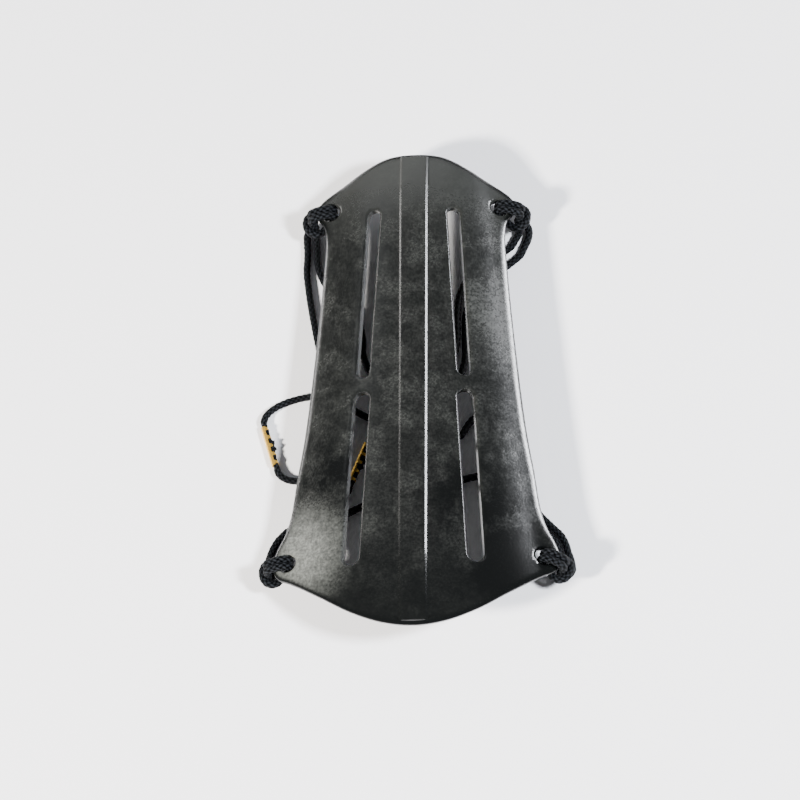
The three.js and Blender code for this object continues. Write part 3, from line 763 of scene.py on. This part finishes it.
class ARMGUARD_OT_stage(Operator):
    """Pale table, soft studio light and the camera"""

    bl_idname = "armguard.stage"
    bl_label = "Stage"

    def execute(self, context):
        stage = context.scene.armguard_stage
        size = 3.0
        corners = np.array([(-size, -size, 0), (size, -size, 0), (size, size, 0), (-size, size, 0)])
        mesh = bpy.data.meshes.new("table")
        mesh.from_pydata(corners.tolist(), [], [(0, 1, 2, 3)])
        mesh.materials.append(painted_table(stage))
        table = bpy.data.objects.new("table", mesh)
        context.scene.collection.objects.link(table)
        self.add_lights(context)
        self.add_camera(context, stage)
        return {"FINISHED"}

    @staticmethod
    def add_lights(context):
        """Soft area lights that face the guard, and a faint even light from all round."""
        # Name, place, width and height in metres, power in watts and colour.
        rows = (
            ("front_left_light", (-1.02, -0.62, 0.86), (0.16, 0.16), 90.0, "#fffaf4"),
            ("front_right_light", (0.72, -0.26, 0.95), (0.18, 0.18), 44.0, "#f6f9ff"),
            ("right_strip_light", (1.01, 0.58, 0.345), (0.40, 0.16), 16.5, "#f8faff"),
            ("left_strip_light", (-1.03, 0.66, 0.13), (0.20, 0.08), 1.2, "#fffdfa"),
            ("back_light", (-0.25, 1.05, 0.75), (1.40, 0.80), 3.0, "#f8faff"),
        )
        for name, place, (width, height), power, code in rows:
            light = bpy.data.lights.new(name, "AREA")
            light.shape = "RECTANGLE"
            light.size = width
            light.size_y = height
            light.energy = power
            light.color = linear_colour(code)
            lamp = bpy.data.objects.new(name, light)
            lamp.location = place
            lamp.rotation_euler = Vector(place).to_track_quat("Z", "Y").to_euler()
            # The front lights give light and shadow without a glint, and the strips only a glint along the
            # edges.
            lamp.visible_glossy = "front" not in name
            lamp.visible_diffuse = "strip" not in name
            context.scene.collection.objects.link(lamp)
        world = bpy.data.worlds.new("studio")
        world.use_nodes = True
        around = world.node_tree.nodes["Background"].inputs
        around["Color"].default_value = (*linear_colour("#f4f6fa"), 1)
        around["Strength"].default_value = 0.12
        context.scene.world = world

    @staticmethod
    def add_camera(context, stage):
        """Camera whose picture keeps the guard's length upright, aimed a little beside the origin."""
        tilt, roll = stage.elevation, stage.roll
        towards = Vector((math.sin(tilt) * math.sin(roll), -math.cos(tilt), math.sin(tilt) * math.cos(roll)))
        up = Vector((0, 1, 0))
        up = (up - towards * up.dot(towards)).normalized()
        right = up.cross(towards)
        camera = bpy.data.cameras.new("camera")
        sensor = 36
        camera.sensor_width = sensor
        camera.lens = sensor * stage.distance / stage.view
        camera.clip_end = 20
        eye = bpy.data.objects.new("camera", camera)
        turn = Matrix((right, up, towards)).transposed().to_4x4()
        place = right * stage.aim_right + up * stage.aim_up + towards * stage.distance
        eye.matrix_world = Matrix.Translation(place) @ turn
        context.scene.collection.objects.link(eye)
        context.scene.camera = eye


class ARMGUARD_OT_cords(Operator):
    """Both elastic loops: strands on the table and hitches round the ears"""

    bl_idname = "armguard.cords"
    bl_label = "Elastic loops"

    def execute(self, context):
        shell, cord = context.scene.armguard_shell, context.scene.armguard_cord
        material = braided_elastic(cord)
        for loop in EARS:
            self.add_loop(loop, shell, cord, material)
        return {"FINISHED"}

    def add_loop(self, loop, shell, cord, material):
        """One tube round the whole loop, so that the braid runs on, cut into its strands and hitches."""
        parts = loop_parts(shell, loop)
        samples = 12
        rough = smooth_line(np.vstack([points for _, points in parts]), samples=samples)
        along = lengths_along(rough)
        ends = np.cumsum([len(points) for _, points in parts])[:-1]
        cuts = (along[(ends - 1) * samples] + along[ends * samples]) / 2
        line = even_line(rough, cord.spacing)
        step = along[-1] / (len(line) - 1)
        marks = [0, *np.round(cuts / step).astype(int), len(line) - 1]
        start, stop = crimp_axes(loop)[:2]
        half = np.linalg.norm(stop - start) / 2
        at = np.linspace(0, along[-1], len(line))
        past_crimp, taper, ramp = 0.8 * MM, 1.2 * MM, 6 * MM
        inside = half + past_crimp - np.minimum(at, along[-1] - at) + taper
        squeeze = np.clip(inside / taper, 0, 1)
        turns = np.concatenate([
            (first, first + ramp, last - ramp, last) for first, last in cuts.reshape(2, 2)])
        bunched = np.interp(at, turns, [0, 1, 1, 0] * 2)
        radius = cord.radius - (cord.radius - cord.squeezed) * squeeze + cord.swell * bunched
        line[:, 2] = np.maximum(line[:, 2], np.maximum(radius, cord.radius))
        rings, crowns = cord_tube(line, radius, cord)
        for (name, _), first, last in zip(parts, marks, marks[1:]):
            piece = self.add_part(name, rings[first:last + 1], crowns[first:last + 1], material)
            if name.endswith("strand"):
                self.declare(piece, loop, line[first:last + 1], cord)

    @staticmethod
    def add_part(name, rings, crowns, material):
        """Tube from a stretch of rings, closed at both ends."""
        rows, sides = rings.shape[:2]
        faces = grid_faces(rows, sides).tolist()
        faces += [list(range(sides - 1, -1, -1)), list(range((rows - 1) * sides, rows * sides))]
        piece = new_piece(name + "_braid", rings.reshape(-1, 3), faces, material)
        piece.data.set_sharp_from_angle(angle=math.radians(70))
        braid = piece.data.attributes.new("braid", "FLOAT", "POINT")
        braid.data.foreach_set("value", crowns.ravel())
        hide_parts(name)
        return piece

    @staticmethod
    def declare(piece, loop, line, cord):
        """Does nothing with the strand."""


class ARMGUARD_OT_crimps(Operator):
    """Brass crimps that close the loops"""

    bl_idname = "armguard.crimps"
    bl_label = "Crimps"

    def execute(self, context):
        crimp = context.scene.armguard_crimp
        material = pressed_brass(crimp)
        for loop in CRIMPS:
            points, faces = self.shape(crimp, loop)
            piece = new_piece(f"{loop}_brass_crimp", points, faces, material)
            piece.data.set_sharp_from_angle(angle=math.radians(40))
            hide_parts(f"{loop}_crimp")
        return {"FINISHED"}

    @staticmethod
    def shape(crimp, loop):
        """Channel whose section is an arc with a wall, carried along the crimp. The arc goes further round in
        each claw, whose tip is also bent into the cord. Returns points and faces."""
        rings, turns = 146, 41
        end, edge, bite, bend = 0.4 * MM, 0.12 * MM, 0.28 * MM, 0.9
        start, stop, axis, opening, third = crimp_axes(loop)
        length = np.linalg.norm(stop - start)
        at = np.linspace(0, length, rings)
        margin = end + crimp.claw_length / 2
        middles = np.linspace(margin, length - margin, crimp.claws)
        rise = np.tanh((at[:, None] - middles + crimp.claw_length / 2) / edge)
        fall = np.tanh((at[:, None] - middles - crimp.claw_length / 2) / edge)
        claw = (0.5 * (rise - fall)).sum(axis=1)[:, None]
        half = crimp.cover / 2 + claw * (crimp.clasp - crimp.cover) / 2
        turn = np.linspace(-1, 1, turns)[None, :] * half
        pressed = bite * np.clip((np.abs(turn) - crimp.cover / 2) / bend, 0, 1)
        outer, inner = crimp.outer - pressed, crimp.inner - pressed
        angle = np.concatenate([turn, turn[:, ::-1]], axis=1) + np.pi
        reach = np.concatenate([outer, inner[:, ::-1]], axis=1)
        section = (reach * np.cos(angle))[..., None] * opening + (reach * np.sin(angle))[..., None] * third
        points = (start + at[:, None, None] * axis + section).reshape(-1, 3)
        count = angle.shape[1]
        faces = grid_faces(rings, count).tolist()
        first = np.arange(turns - 1)
        cap = np.stack([first, first + 1, count - 2 - first, count - 1 - first], axis=1)
        return points, faces + cap[:, ::-1].tolist() + (cap + (rings - 1) * count).tolist()


class ARMGUARD_OT_shell(Operator):
    """Moulded shell with its band, slots and ear holes"""

    bl_idname = "armguard.shell"
    bl_label = "Shell"

    def execute(self, context):
        shell = context.scene.armguard_shell
        points, faces, rim = shell_body(shell)
        piece = new_piece("moulded_shell", points, faces.tolist(), moulded_plastic(shell))
        piece.data.attributes.new("rim", "FLOAT", "POINT").data.foreach_set("value", rim)
        cut_shell(piece, shell)
        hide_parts("guard_shell")
        return {"FINISHED"}


class ARMGUARD_PT_panel(Panel):
    """Arm guard pieces"""

    bl_idname = "ARMGUARD_PT_panel"
    bl_label = "Arm guard"
    bl_space_type = "VIEW_3D"
    bl_region_type = "UI"
    bl_category = "Arm guard"

    def draw(self, context):
        for group, operator in zip(GROUPS, OPERATORS):
            box = self.layout.box()
            settings = getattr(context.scene, group)
            for name in settings.__annotations__:
                box.prop(settings, name)
            box.operator(operator.bl_idname)


GROUPS = {
    "armguard_stage": StageSettings,
    "armguard_cord": CordSettings,
    "armguard_crimp": CrimpSettings,
    "armguard_shell": ShellSettings,
}
OPERATORS = (ARMGUARD_OT_stage, ARMGUARD_OT_cords, ARMGUARD_OT_crimps, ARMGUARD_OT_shell)


def register():
    """Makes the settings, the operators and the panel known."""
    for name, group in GROUPS.items():
        bpy.utils.register_class(group)
        setattr(bpy.types.Scene, name, PointerProperty(type=group))
    for operator in OPERATORS:
        bpy.utils.register_class(operator)
    bpy.utils.register_class(ARMGUARD_PT_panel)


def unregister():
    """Takes them away again."""
    bpy.utils.unregister_class(ARMGUARD_PT_panel)
    for operator in reversed(OPERATORS):
        bpy.utils.unregister_class(operator)
    for name, group in reversed(GROUPS.items()):
        delattr(bpy.types.Scene, name)
        bpy.utils.unregister_class(group)


def main():
    """Builds the stage and the pieces."""
    register()
    bpy.ops.armguard.stage()
    bpy.ops.armguard.crimps()
    bpy.ops.armguard.cords()
    bpy.ops.armguard.shell()


if __name__ == "__main__":
    main()
